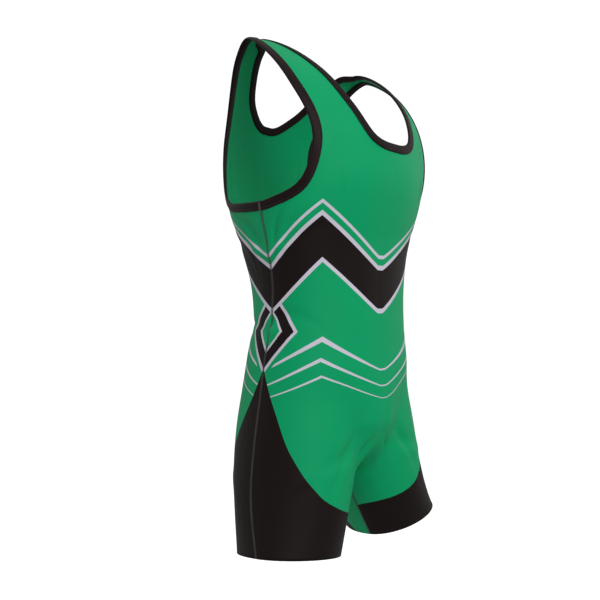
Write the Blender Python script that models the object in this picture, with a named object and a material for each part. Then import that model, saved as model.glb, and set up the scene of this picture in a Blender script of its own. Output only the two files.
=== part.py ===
"""Wrestling singlet in its worn, hollow shape. Metres, +Z up, front towards -Y.

The origin lies midway between the two shoulder straps, level with their tops, where the
wearer's shoulders hold the garment up. The wearer's left is +X. Every surface is worked out
for the left half and mirrored. A place on the cloth is given by two numbers: its share of
the way from the side seam (0) to the middle or the inseam (1), and its level, which is the
height up to BASE_Z and from there runs along the ribs to the shoulder ridge at level 0.
"""
import math

import bpy
import numpy as np

# Cloth, seams and bindings
CLOTH = 0.0012
SEAM_SHIFT = 0.00025        # each panel stands this far off the line of its seams
BINDING_WIDTH = 0.013
BINDING_WALL = 0.0010
BINDING_GAP = 0.0003

# Levels
BASE_Z = -0.269             # body sections below, ribs above
FAN_Z = -0.300              # level row under the armholes, where their grids start
CROTCH_Z = -0.716
HEM_Z = -0.824
MERGE_HEIGHT = 0.150        # the legs become one body over this height above the crotch
THIGH_MERGE_HEIGHT = 0.190  # and over this one out on the thighs, where the change is softer
THIGH_SHARE = 0.50          # share from which the crotch's rounder change fades in
MIDDLE = 0.006              # half width of the strip between the legs
FORK_ROUNDING = 0.006       # softens where the legs meet that strip

# Hem planes, square to the splayed legs
HEM_RISE_OUTWARDS = 0.21
HEM_RISE_BACKWARDS = -0.19

# Shoulder ridge: its reach if it ran on to the shoulder point, its crown and its fall
RIDGE_REACH = 0.241
RIDGE_CROWN = 0.008
RIDGE_FALL = 0.032

SQUARENESS = 2.2            # exponent of the body sections
FRONT = 1
BACK = -1

GREEN = (0.0, 0.376, 0.133)
BLACK = (0.012, 0.006, 0.007)
ROUGHNESS = 0.6

# Lengths of the ribs' two handles: the lower as a share of the height, the upper of the depth
RIBS = {FRONT: {"lower": 0.60, "upper": 0.22}, BACK: {"lower": 0.52, "upper": 0.43}}

BODY = {
    "z": (-0.824, -0.724, -0.644, -0.584, -0.524, -0.464, -0.404, -0.344, -0.284, -0.269),
    "half_width": (0.205, 0.186, 0.170, 0.158, 0.150, 0.141, 0.141, 0.150, 0.165, 0.168),
    "seam_y": (-0.084, -0.050, -0.041, -0.039, -0.041, -0.046, -0.050, -0.048, -0.048, -0.049),
    "front_y": (-0.184, -0.184, -0.177, -0.163, -0.157, -0.154, -0.153, -0.158, -0.174, -0.178),
    "back_y": (0.100, 0.100, 0.094, 0.085, 0.076, 0.068, 0.079, 0.101, 0.125, 0.130),
}

LEG = {
    "z": (-0.824, -0.716, -0.526),
    "inner_x": (0.054, 0.006, -0.080),
    "inseam_y": (-0.090, -0.058, -0.010),
    "front_y": (-0.154, -0.150, -0.143),
    "back_y": (0.015, 0.054, 0.110),
}

# Edges of the neck and of the armhole, each from its lowest point to the shoulder ridge
NECK = {
    FRONT: {"share": (1.0, 0.886, 0.803, 0.752, 0.710, 0.690),
            "level": (-0.219, -0.213, -0.181, -0.131, -0.071, 0.0)},
    BACK: {"share": (1.0, 0.877, 0.803, 0.768, 0.745, 0.690),
           "level": (-0.153, -0.130, -0.090, -0.058, -0.028, 0.0)},
}
ARMHOLE = {
    FRONT: {"share": (0.0, 0.15, 0.36, 0.465, 0.475, 0.519, 0.572),
            "level": (-0.277, -0.271, -0.255, -0.222, -0.150, -0.060, 0.0)},
    BACK: {"share": (0.0, 0.18, 0.375, 0.53, 0.640, 0.590, 0.572),
           "level": (-0.277, -0.274, -0.265, -0.245, -0.178, -0.067, 0.0)},
}
# Grid counts
SIDE_COLUMNS = 8            # along the level row, from the side seam to the strap line
MIDDLE_COLUMNS = 4          # and from there to the middle
STRAP_ROWS = 8              # along the strap line
FILL_ROWS = 3               # between a binding's reach and the strap line
LEG_ROWS = 4
MERGE_ROWS = 5
BODY_ROWS = 9

# Lines up the middle of each strap, where the neck's and the armhole's grids meet
STRAP_FOOT = SIDE_COLUMNS / (SIDE_COLUMNS + MIDDLE_COLUMNS)
STRAP_LINE = {
    FRONT: {"share": (STRAP_FOOT, 0.625, 0.620, 0.631), "z": (FAN_Z, -0.20, -0.08, 0.0)},
    BACK: {"share": (STRAP_FOOT, 0.725, 0.710, 0.631), "z": (FAN_Z, -0.20, -0.13, 0.0)},
}

FINE_STEP = 1e-4            # difference of share or level that slopes are measured over
DENSE = 241                 # places on a curve before it is spaced out evenly


def smooth(table, column, at):
    """Cubic Hermite curve through a table's column, with central slopes, read at z."""
    places = np.array(table["z"])
    values = np.array(table[column])
    slopes = np.gradient(values, places) if len(places) > 2 else (
        np.full(2, (values[1] - values[0]) / (places[1] - places[0])))
    at = np.clip(at, places[0], places[-1])
    low = np.clip(np.searchsorted(places, at) - 1, 0, len(places) - 2)
    width = places[low + 1] - places[low]
    t = (at - places[low]) / width
    return ((2 * t**3 - 3 * t**2 + 1) * values[low] + (3 * t**2 - 2 * t**3) * values[low + 1]
            + width * ((t**3 - 2 * t**2 + t) * slopes[low] + (t**3 - t**2) * slopes[low + 1]))


def depth_column(side):
    return "front_y" if side == FRONT else "back_y"


def body_section(share, z, side):
    """Quarter of a squared ellipse from the side seam (share 0) to the middle (share 1)."""
    seam_y = smooth(BODY, "seam_y", z)
    reach = smooth(BODY, depth_column(side), z) - seam_y
    cosine = np.clip(np.cos(share * math.pi / 2), 0.0, 1.0)
    sine = np.sin(share * math.pi / 2)
    x = MIDDLE + (smooth(BODY, "half_width", z) - MIDDLE) * cosine ** (2 / SQUARENESS)
    return x, seam_y + reach * sine ** (2 / SQUARENESS)


def leg_section(share, z, side):
    """Half of a leg's ellipse from the side seam (share 0) to the inseam (share 1)."""
    outer_x, inner_x = smooth(BODY, "half_width", z), smooth(LEG, "inner_x", z)
    outer_y, inner_y = smooth(BODY, "seam_y", z), smooth(LEG, "inseam_y", z)
    bulge = smooth(LEG, depth_column(side), z) - (outer_y + inner_y) / 2
    cosine, sine = np.cos(share * math.pi), np.sin(share * math.pi)
    x = (outer_x + inner_x) / 2 + (outer_x - inner_x) / 2 * cosine
    y = (outer_y + inner_y) / 2 + (outer_y - inner_y) / 2 * cosine + bulge * sine
    return x, y


def ease(value, start, end):
    """0 up to start, 1 from end on, and a smooth S-shaped change between them."""
    t = np.clip((value - start) / (end - start), 0.0, 1.0)
    return t * t * (3 - 2 * t)


def lower_skin(share, level, side):
    """Legs that merge into the body.

    The body's weight grows smoothly out on the thighs, and towards the crotch it follows a
    quarter circle's height, so that the fork between the legs is round. The left leg stays
    beyond the middle strip, which it nears smoothly.
    """
    body_x, body_y = body_section(share, level, side)
    leg_x, leg_y = leg_section(share, level, side)
    rise = np.clip((level - CROTCH_Z) / MERGE_HEIGHT, 0.0, 1.0)
    fork_weight = np.sqrt(1 - (1 - rise) ** 2)
    thigh_weight = ease(level, CROTCH_Z, CROTCH_Z + THIGH_MERGE_HEIGHT)
    weight = thigh_weight + (fork_weight - thigh_weight) * ease(share, THIGH_SHARE, 1.0)
    beyond = leg_x + (body_x - leg_x) * weight - MIDDLE
    rounding = FORK_ROUNDING * (1 - thigh_weight)
    x = MIDDLE + (beyond + np.hypot(beyond, rounding)) / 2
    y = leg_y + (body_y - leg_y) * weight
    drop = ((CROTCH_Z - np.minimum(level, CROTCH_Z)) / (CROTCH_Z - HEM_Z)) ** 2
    hem_middle_x = (BODY["half_width"][0] + LEG["inner_x"][0]) / 2
    hem_middle_y = (BODY["seam_y"][0] + LEG["inseam_y"][0]) / 2
    tilt = HEM_RISE_OUTWARDS * (x - hem_middle_x) + HEM_RISE_BACKWARDS * (y - hem_middle_y)
    return np.stack([x, y, level + tilt * drop], axis=-1)


def upper_skin(share, level, side):
    """Ribs: cubic Bezier curves that leave the body's slope and cross the ridge level."""
    foot_x, foot_y = body_section(share, BASE_Z, side)
    below_x, below_y = body_section(share, BASE_Z - FINE_STEP, side)
    foot = np.stack([foot_x, foot_y, np.full_like(foot_x, BASE_Z)], axis=-1)
    below = np.stack([below_x, below_y, np.full_like(foot_x, BASE_Z - FINE_STEP)], axis=-1)
    ridge_x = MIDDLE + (RIDGE_REACH - MIDDLE) * np.cos(share * math.pi / 2)
    ridge_z = RIDGE_CROWN - RIDGE_FALL * (ridge_x / RIDGE_REACH) ** 2
    ridge = np.stack([ridge_x, np.zeros_like(ridge_x), ridge_z], axis=-1)
    handle = RIBS[side]["lower"] * (ridge_z - BASE_Z) / FINE_STEP
    low_handle = foot + (foot - below) * handle[..., None]
    top_handle = ridge + np.stack([0 * foot_y, RIBS[side]["upper"] * foot_y, 0 * foot_y], axis=-1)
    t = np.clip(1 - level / BASE_Z, 0.0, 1.0)[..., None]
    return ((1 - t) ** 3 * foot + 3 * (1 - t) ** 2 * t * low_handle
            + 3 * (1 - t) * t**2 * top_handle + t**3 * ridge)


def skin(places, side):
    """Points of the cloth's outer face at places given as (share, level) pairs."""
    share, level = np.broadcast_arrays(places[..., 0], places[..., 1])
    lower = lower_skin(share, np.minimum(level, BASE_Z), side)
    upper = upper_skin(share, level, side)
    return np.where(level[..., None] <= BASE_Z, lower, upper)


def slopes(places, side):
    """Change of the cloth's points with share and with level, by small differences."""
    ahead = np.clip(places[..., 0] + FINE_STEP, 0, 1)
    behind = np.clip(places[..., 0] - FINE_STEP, 0, 1)
    above = np.minimum(places[..., 1] + FINE_STEP, 0)
    under = np.maximum(places[..., 1] - FINE_STEP, HEM_Z)
    by_share = (skin(np.stack([ahead, places[..., 1]], -1), side)
                - skin(np.stack([behind, places[..., 1]], -1), side)) / (ahead - behind)[..., None]
    by_level = (skin(np.stack([places[..., 0], above], -1), side)
                - skin(np.stack([places[..., 0], under], -1), side)) / (above - under)[..., None]
    return by_share, by_level


def unit(vectors):
    return vectors / np.linalg.norm(vectors, axis=-1, keepdims=True)


def normals(places, side):
    """Outward directions of the cloth on the left half."""
    by_share, by_level = slopes(places, side)
    return unit(np.cross(by_level, by_share)) * side


def edge_curve(rows, start_mirror):
    """Closely spaced places on a smooth curve through a table's rows.

    The rows are padded with their mirror images at both ends, so the curve meets the middle
    or the side seam squarely, and the ridge too.
    """
    share, level = np.array(rows["share"]), np.array(rows["level"])
    share = np.concatenate([[2 * start_mirror - share[1]], share, [share[-2]]])
    level = np.concatenate([[level[1]], level, [-level[-2]]])
    steps = np.hypot(np.diff(share) * RIDGE_REACH, np.diff(level))
    along = np.concatenate([[0], np.cumsum(steps)])
    dense = np.linspace(along[1], along[-2], DENSE)
    curve = {"z": along, "share": share, "level": level}
    return np.stack([smooth(curve, "share", dense), smooth(curve, "level", dense)], axis=-1)


def spaced(places, side, count):
    """Pick count + 1 places at equal distances along the cloth."""
    points = skin(places, side)
    lengths = np.concatenate([[0], np.cumsum(np.linalg.norm(np.diff(points, axis=0), axis=1))])
    wanted = np.linspace(0, lengths[-1], count + 1)
    return np.stack([np.interp(wanted, lengths, places[:, k]) for k in (0, 1)], axis=-1)


def reach_rows(curve, side, inward):
    """The edge, and places half a binding and a whole binding in from it, square to it.

    inward is +1 where the cloth lies towards a greater share (armhole) and -1 where it lies
    towards a smaller one (neck). The ends move along the seam, the middle and the ridge.
    """
    by_share, by_level = slopes(curve, side)
    normal = unit(np.cross(by_level, by_share)) * side
    along = unit(np.gradient(skin(curve, side), axis=0))
    across = np.cross(normal, along) * side * inward
    jacobian = np.stack([by_share, by_level], axis=-1)
    solve = np.linalg.pinv(jacobian)
    step = np.einsum("nij,nj->ni", solve, across * BINDING_WIDTH)
    step[0] = (0, -BINDING_WIDTH / np.linalg.norm(by_level[0]))
    step[-1] = (inward * BINDING_WIDTH / np.linalg.norm(by_share[-1]), 0)
    return np.stack([curve, curve + step / 2, curve + step], axis=1)


def edge_grid(rows, side, start_mirror, inward, base_shares):
    """Grid of places from a bound edge out to the level row and the strap line."""
    count = len(base_shares) - 1 + STRAP_ROWS
    bound = reach_rows(spaced(edge_curve(rows, start_mirror), side, count), side, inward)
    base = np.stack([base_shares, np.full(len(base_shares), FAN_Z)], axis=-1)
    strap = spaced(strap_line(side), side, STRAP_ROWS)
    outer = np.concatenate([base, strap[1:]])
    mix = np.linspace(0, 1, FILL_ROWS + 1)[1:]
    fill = bound[:, 2:3] + (outer[:, None] - bound[:, 2:3]) * mix[:, None]
    return np.concatenate([bound, fill], axis=1)


def strap_line(side):
    levels = np.linspace(FAN_Z, 0, DENSE)
    return np.stack([smooth(STRAP_LINE[side], "share", levels), levels], axis=-1)


COLUMNS = np.linspace(0, 1, SIDE_COLUMNS + MIDDLE_COLUMNS + 1)


def armhole_grid(side):
    return edge_grid(ARMHOLE[side], side, 0.0, 1, COLUMNS[:SIDE_COLUMNS + 1])


def neck_grid(side):
    return edge_grid(NECK[side], side, 1.0, -1, COLUMNS[SIDE_COLUMNS:][::-1])


def level_grid(low, high, rows, power=1):
    levels = np.linspace(0, 1, rows + 1) ** power
    levels = low + (high - low) * levels
    return np.stack(np.meshgrid(COLUMNS, levels, indexing="ij"), axis=-1)


class Sheet:
    """Collects grids of places as one surface, with the cloth's outer and inner faces."""

    def __init__(self, side):
        self.side = side
        self.outer = []
        self.inner = []
        self.faces = []

    def add(self, places, flip, mirror=False):
        first = len(self.outer)
        rows, columns = places.shape[:2]
        outer = skin(places, self.side) - (0, self.side * SEAM_SHIFT, 0)
        inner = outer - normals(places, self.side) * CLOTH
        turned = (-1, 1, 1) if mirror else (1, 1, 1)
        self.outer.extend((outer * turned).reshape(-1, 3))
        self.inner.extend((inner * turned).reshape(-1, 3))
        for i in range(rows - 1):
            for j in range(columns - 1):
                corner = first + i * columns + j
                beyond = corner + columns + 1
                for face in ((corner, corner + columns, beyond), (corner, beyond, corner + 1)):
                    self.faces.append(face[::-1] if flip != mirror else face)

    def add_both(self, places, flip):
        """A grid on the left half and its mirror image on the right."""
        self.add(places, flip)
        self.add(places, flip, mirror=True)

    def bridge(self, line, flip):
        """The strip between a line of places and its mirror image."""
        count = len(line)
        first = len(self.outer)
        self.add(line[:, None], False, mirror=True)
        self.add(line[:, None], False)
        for j in range(count - 1):
            corner = first + j
            beyond = corner + count + 1
            for face in ((corner, corner + count, beyond), (corner, beyond, corner + 1)):
                self.faces.append(face[::-1] if flip else face)

    def closed(self):
        """Weld what meets, then join the outer and the inner face round every open edge."""
        outer, first, welded = np.unique(
            np.round(self.outer, 6), axis=0, return_index=True, return_inverse=True)
        welded = welded.reshape(-1)
        count = len(outer)
        faces = [tuple(int(welded[k]) for k in face) for face in self.faces]
        edges = {(face[k], face[(k + 1) % 3]) for face in faces for k in range(3)}
        rim = [(b, a, a + count, b + count) for a, b in sorted(edges) if (b, a) not in edges]
        back = [tuple(k + count for k in face[::-1]) for face in faces]
        points = np.concatenate([outer, np.array(self.inner)[first]])
        return points, faces + back + rim


def material(name, colour):
    made = bpy.data.materials.new(name)
    made.use_nodes = True
    surface = made.node_tree.nodes["Principled BSDF"]
    surface.inputs["Base Color"].default_value = (*colour, 1.0)
    surface.inputs["Roughness"].default_value = ROUGHNESS
    surface.inputs["Metallic"].default_value = 0.0
    return made


def add_object(name, points, faces, finish):
    mesh = bpy.data.meshes.new(name)
    mesh.from_pydata(points, [], faces)
    mesh.materials.append(finish)
    mesh.shade_smooth()
    made = bpy.data.objects.new(name, mesh)
    bpy.context.scene.collection.objects.link(made)


def make_panel(name, side, finish):
    """One panel: both legs, the body and both straps, as one wall of cloth."""
    sheet = Sheet(side)
    legs = level_grid(HEM_Z, CROTCH_Z, LEG_ROWS)
    merge = level_grid(CROTCH_Z, CROTCH_Z + MERGE_HEIGHT, MERGE_ROWS, power=2)
    body = level_grid(CROTCH_Z + MERGE_HEIGHT, FAN_Z, BODY_ROWS)
    neck = neck_grid(side)
    flip = side == BACK
    for places in (legs, merge, body, neck):
        sheet.add_both(places, not flip)
    sheet.add_both(armhole_grid(side), flip)
    middle = np.concatenate([merge[-1], body[-1][1:], neck[0][::-1][1:]])
    sheet.bridge(middle, flip)
    points, faces = sheet.closed()
    add_object(name, points.tolist(), faces, finish)


# Whether the side of the ring that starts at each corner runs inwards over the cloth
RING_INWARDS = [False] * 4 + [True] * 3 + [False] * 4 + [True] * 4


def binding_stations(grid, side):
    """Cross-sections of a binding folded round the edge, one at each column of the grid."""
    places = grid[:, :3]
    rows = skin(places, side)
    outward = normals(places, side)
    shift = np.full((len(rows), 1, 1), -side * SEAM_SHIFT)
    shift[-1] = 0.0
    rows = rows + shift * (0, 1, 0)
    beyond = unit(rows[:, 0] - rows[:, 1])
    near, far = BINDING_GAP, BINDING_GAP + BINDING_WALL

    def lifted(row, height):
        return rows[:, row] + outward[:, row] * height

    def nose(distance, height):
        return rows[:, 0] + beyond * distance + outward[:, 0] * height

    ring = [lifted(2, far), lifted(1, far), lifted(0, far), nose(far, -CLOTH / 2)]
    ring += [lifted(row, -CLOTH - far) for row in (0, 1, 2)]
    ring += [lifted(row, -CLOTH - near) for row in (2, 1, 0)]
    ring += [nose(near, -CLOTH - near), nose(near, near)]
    ring += [lifted(row, near) for row in (0, 1, 2)]
    return np.stack(ring, axis=1)


def make_binding(name, stations, rising, finish):
    """A closed loop of cross-sections.

    Each cell is split along the same diagonal as the panel's cell beside it: rising says for
    each stretch between stations whether it runs away from the edge's lowest point.
    """
    count, size = stations.shape[:2]
    faces = []
    for i in range(count):
        for j in range(size):
            after, beside = (i + 1) % count, (j + 1) % size
            a, b, c, d = i * size + j, i * size + beside, after * size + beside, after * size + j
            if rising[i] == RING_INWARDS[j]:
                faces += [(a, b, c), (a, c, d)]
            else:
                faces += [(a, b, d), (b, c, d)]
    corners = stations.reshape(-1, 3)
    first, second, third = (corners[list(index)] for index in zip(*faces))
    if np.einsum("ij,ij->", first, np.cross(second, third)) < 0:
        faces = [face[::-1] for face in faces]
    add_object(name, corners.tolist(), faces, finish)


def main():
    for old in list(bpy.data.objects):
        bpy.data.objects.remove(old)
    make_panel("front_panel", FRONT, material("front_cloth", GREEN))
    make_panel("back_panel", BACK, material("back_cloth", GREEN))

    front_neck = binding_stations(neck_grid(FRONT), FRONT)
    back_neck = binding_stations(neck_grid(BACK), BACK)
    mirror = np.array((-1, 1, 1))
    # Front right shoulder down to the middle, up to the left shoulder, round the back
    neck_loop = np.concatenate([
        front_neck[::-1] * mirror, front_neck[:-1], back_neck[::-1], back_neck[:-1] * mirror])
    quarter = len(front_neck) - 1
    rising = ([False] * (quarter + 1) + [True] * quarter) * 2
    make_binding("neck_binding", neck_loop, rising, material("neck_black", BLACK))

    front_arm = binding_stations(armhole_grid(FRONT), FRONT)
    back_arm = binding_stations(armhole_grid(BACK), BACK)
    # At the side seam the two panels part by twice the seam shift: the binding runs between
    bottom = (front_arm[:1] + back_arm[:1]) / 2
    arm_loop = np.concatenate([bottom, front_arm[1:], back_arm[1:-1][::-1]])
    rising = [True] * (len(front_arm) - 1) + [False] * (len(back_arm) - 1)
    for name, flip in (("armhole_binding_left", 1), ("armhole_binding_right", -1)):
        make_binding(name, arm_loop * (flip, 1, 1), rising, material(name + "_black", BLACK))


main()
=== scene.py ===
"""Looks of a wrestling singlet in its worn, hollow shape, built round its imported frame.

Metres, +Z up, front towards -Y, the wearer's left at +X, the origin between the strap tops.
A place on the cloth is a share of the way from the side seam (0) to the middle or the inseam
(1), and a level: the height up to BASE_Z, and from there a run along the ribs to the shoulder
ridge at level 0. Every surface is worked out for the left half and mirrored.
"""

import math

import bmesh
import bpy
import numpy as np
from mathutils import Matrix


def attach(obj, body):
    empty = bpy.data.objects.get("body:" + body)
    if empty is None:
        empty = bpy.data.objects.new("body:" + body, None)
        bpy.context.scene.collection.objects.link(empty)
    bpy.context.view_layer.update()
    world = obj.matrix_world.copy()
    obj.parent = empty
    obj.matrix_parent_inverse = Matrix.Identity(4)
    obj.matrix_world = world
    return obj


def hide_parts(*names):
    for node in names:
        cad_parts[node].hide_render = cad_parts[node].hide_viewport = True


bl_info = {
    "name": "Wrestling Singlet",
    "version": (1, 0, 0),
    "blender": (4, 5, 0),
    "location": "View3D > Sidebar > Singlet",
    "description": "Cloth panels, bindings, seams and stage of a wrestling singlet",
    "category": "Add Mesh",
}

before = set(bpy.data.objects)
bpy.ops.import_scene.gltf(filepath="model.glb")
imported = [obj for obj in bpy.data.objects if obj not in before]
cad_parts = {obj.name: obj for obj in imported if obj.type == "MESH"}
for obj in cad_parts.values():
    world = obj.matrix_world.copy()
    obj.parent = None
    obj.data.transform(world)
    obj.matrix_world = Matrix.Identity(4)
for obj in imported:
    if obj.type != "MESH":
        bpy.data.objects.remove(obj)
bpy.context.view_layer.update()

# Cloth, seams and bindings
CLOTH = 0.0012
SEAM_SHIFT = 0.00025
BINDING_WIDTH = 0.013
BINDING_WALL = 0.0010
BINDING_GAP = 0.0003
WELD = 0.00002

# Threads
BINDING_THREAD = 0.00022
STITCH_ROWS = (0.70, 0.86)
SEAM_THREAD = 0.00030
SEAM_LIFT = 0.0002
SEAM_SLANT = 0.9
FORK_TURN = 0.012
UNDER_BINDING = 0.0135
HEM_ROUND = 0.72

# Levels
BASE_Z = -0.269
FAN_Z = -0.300
CROTCH_Z = -0.716
HEM_Z = -0.824
MERGE_HEIGHT = 0.150
THIGH_MERGE_HEIGHT = 0.190
THIGH_SHARE = 0.50
MIDDLE = 0.006
FORK_ROUNDING = 0.006
HEM_RISE_OUTWARDS = 0.21
HEM_RISE_BACKWARDS = -0.19
RIDGE_REACH = 0.241
RIDGE_CROWN = 0.008
RIDGE_FALL = 0.032
SQUARENESS = 2.2
FRONT = 1
BACK = -1

RIBS = {FRONT: {"lower": 0.60, "upper": 0.22}, BACK: {"lower": 0.52, "upper": 0.43}}

BODY = {
    "z": (-0.824, -0.724, -0.644, -0.584, -0.524, -0.464, -0.404, -0.344, -0.284, -0.269),
    "half_width": (0.205, 0.186, 0.170, 0.158, 0.150, 0.141, 0.141, 0.150, 0.165, 0.168),
    "seam_y": (-0.084, -0.050, -0.041, -0.039, -0.041, -0.046, -0.050, -0.048, -0.048, -0.049),
    "front_y": (-0.184, -0.184, -0.177, -0.163, -0.157, -0.154, -0.153, -0.158, -0.174, -0.178),
    "back_y": (0.100, 0.100, 0.094, 0.085, 0.076, 0.068, 0.079, 0.101, 0.125, 0.130),
}
LEG = {
    "z": (-0.824, -0.716, -0.526),
    "inner_x": (0.054, 0.006, -0.080),
    "inseam_y": (-0.090, -0.058, -0.010),
    "front_y": (-0.154, -0.150, -0.143),
    "back_y": (0.015, 0.054, 0.110),
}
NECK = {
    FRONT: {"share": (1.0, 0.886, 0.803, 0.752, 0.710, 0.690),
            "level": (-0.219, -0.213, -0.181, -0.131, -0.071, 0.0)},
    BACK: {"share": (1.0, 0.877, 0.803, 0.768, 0.745, 0.690),
           "level": (-0.153, -0.130, -0.090, -0.058, -0.028, 0.0)},
}
ARMHOLE = {
    FRONT: {"share": (0.0, 0.15, 0.36, 0.465, 0.475, 0.519, 0.572),
            "level": (-0.277, -0.271, -0.255, -0.222, -0.150, -0.060, 0.0)},
    BACK: {"share": (0.0, 0.18, 0.375, 0.53, 0.640, 0.590, 0.572),
           "level": (-0.277, -0.274, -0.265, -0.245, -0.178, -0.067, 0.0)},
}

# Fine grid counts
SIDE_COLUMNS = 64
MIDDLE_COLUMNS = 32
STRAP_ROWS = 56
FILL_ROWS = 14
LEG_ROWS = 18
MERGE_ROWS = 26
BODY_ROWS = 56

STRAP_FOOT = SIDE_COLUMNS / (SIDE_COLUMNS + MIDDLE_COLUMNS)
STRAP_LINE = {
    FRONT: {"share": (STRAP_FOOT, 0.625, 0.620, 0.631), "z": (FAN_Z, -0.20, -0.08, 0.0)},
    BACK: {"share": (STRAP_FOOT, 0.725, 0.710, 0.631), "z": (FAN_Z, -0.20, -0.13, 0.0)},
}
COLUMNS = np.linspace(0, 1, SIDE_COLUMNS + MIDDLE_COLUMNS + 1)
FINE_STEP = 1e-4
DENSE = 481
WALK_STEPS = 10

# Edge of the black block on each leg: its share of the way round at each height
LEG_BLOCK = {
    FRONT: {"z": (-0.850, -0.776, -0.762, -0.735, -0.709, -0.667, -0.601, -0.537),
            "share": (1.20, 0.95, 0.70, 0.45, 0.335, 0.225, 0.122, 0.0)},
    BACK: {"z": (-0.850, -0.812, -0.780, -0.740, -0.700, -0.653, -0.600, -0.538),
           "share": (1.06, 0.82, 0.62, 0.44, 0.300, 0.185, 0.095, 0.0)},
}
BLOCK_SCALE = 0.22
OFF_BLOCK = -0.01

# Creases: place as share and level, reach across and along, turn in degrees and height
CREASE_BEND = 6.0
CREASES = {
    FRONT: {
        "share": (0.10, 0.22, 0.06, 0.30, 0.15, 0.05, 0.62, 0.74, 0.50, 0.86, 0.93, 0.40, 0.70),
        "level": (-0.315, -0.322, -0.350, -0.335, -0.452, -0.478, -0.655, -0.640, -0.672,
                  -0.668, -0.700, -0.690, -0.230),
        "across": (0.006, 0.007, 0.008, 0.009, 0.010, 0.008, 0.009, 0.010, 0.011,
                   0.007, 0.006, 0.012, 0.014),
        "along": (0.030, 0.042, 0.034, 0.050, 0.055, 0.040, 0.060, 0.045, 0.048,
                  0.034, 0.022, 0.040, 0.050),
        "turn": (62, 48, 20, 38, 8, -6, 38, 30, 22, 48, 55, 12, 10),
        "height": (-0.0016, -0.0013, 0.0011, -0.0012, -0.0012, 0.0010, -0.0022, 0.0014, -0.0014,
                   -0.0021, -0.0014, 0.0009, -0.0010),
    },
    BACK: {
        "share": (0.12, 0.25, 0.07, 0.36, 0.18, 0.62, 0.90, 0.75, 0.55, 0.84, 0.93, 0.40),
        "level": (-0.318, -0.330, -0.352, -0.342, -0.470, -0.458, -0.476, -0.650, -0.690,
                  -0.700, -0.670, -0.706),
        "across": (0.007, 0.008, 0.008, 0.010, 0.010, 0.013, 0.011, 0.010, 0.012,
                   0.008, 0.007, 0.010),
        "along": (0.034, 0.046, 0.032, 0.052, 0.060, 0.070, 0.060, 0.048, 0.052,
                  0.036, 0.030, 0.046),
        "turn": (58, 46, 16, 34, 6, -4, 3, 34, 18, 40, 60, 10),
        "height": (-0.0015, -0.0013, 0.0010, -0.0011, -0.0012, -0.0019, 0.0013, -0.0017, -0.0014,
                   -0.0018, -0.0012, 0.0009),
    },
}

# Printed figures, all as heights or reaches in metres
BAND = {"z": -0.372, "swing": 0.040, "half": 0.031, "edge": 0.0075}
HIGH_LINE = {"rise": 0.052, "half": 0.0028}
LOZENGE = {"z": -0.478, "half_height": 0.060, "half_width": 0.046, "edge": 0.0065, "core": 0.42}
LOW_LINES = {
    "z": (-0.502, -0.532, -0.556),
    "swing": (0.052, 0.046, 0.040),
    "half": (0.0042, 0.0030, 0.0018),
}


# ---------------------------------------------------------------- the cloth's shape

def smooth(table, column, at):
    """Cubic Hermite curve through a table's column, with central slopes, read at z."""
    places = np.array(table["z"])
    values = np.array(table[column])
    slopes = np.gradient(values, places)
    at = np.clip(at, places[0], places[-1])
    low = np.clip(np.searchsorted(places, at) - 1, 0, len(places) - 2)
    width = places[low + 1] - places[low]
    t = (at - places[low]) / width
    return ((2 * t**3 - 3 * t**2 + 1) * values[low] + (3 * t**2 - 2 * t**3) * values[low + 1]
            + width * ((t**3 - 2 * t**2 + t) * slopes[low] + (t**3 - t**2) * slopes[low + 1]))


def depth_column(side):
    return "front_y" if side == FRONT else "back_y"


def body_section(share, z, side):
    """Squared ellipse: x = width cos^(2/n), y = seam + depth sin^(2/n) of a quarter turn."""
    seam_y = smooth(BODY, "seam_y", z)
    reach = smooth(BODY, depth_column(side), z) - seam_y
    cosine = np.clip(np.cos(share * math.pi / 2), 0.0, 1.0)
    sine = np.sin(share * math.pi / 2)
    x = MIDDLE + (smooth(BODY, "half_width", z) - MIDDLE) * cosine ** (2 / SQUARENESS)
    return x, seam_y + reach * sine ** (2 / SQUARENESS)


def leg_section(share, z, side):
    """Half of a leg's ellipse from the side seam (share 0) to the inseam (share 1)."""
    outer_x, inner_x = smooth(BODY, "half_width", z), smooth(LEG, "inner_x", z)
    outer_y, inner_y = smooth(BODY, "seam_y", z), smooth(LEG, "inseam_y", z)
    bulge = smooth(LEG, depth_column(side), z) - (outer_y + inner_y) / 2
    cosine, sine = np.cos(share * math.pi), np.sin(share * math.pi)
    x = (outer_x + inner_x) / 2 + (outer_x - inner_x) / 2 * cosine
    y = (outer_y + inner_y) / 2 + (outer_y - inner_y) / 2 * cosine + bulge * sine
    return x, y


def ease(value, start, end):
    """0 up to start, 1 from end on, and t^2 (3 - 2t) between them."""
    t = np.clip((value - start) / (end - start), 0.0, 1.0)
    return t * t * (3 - 2 * t)


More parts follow.
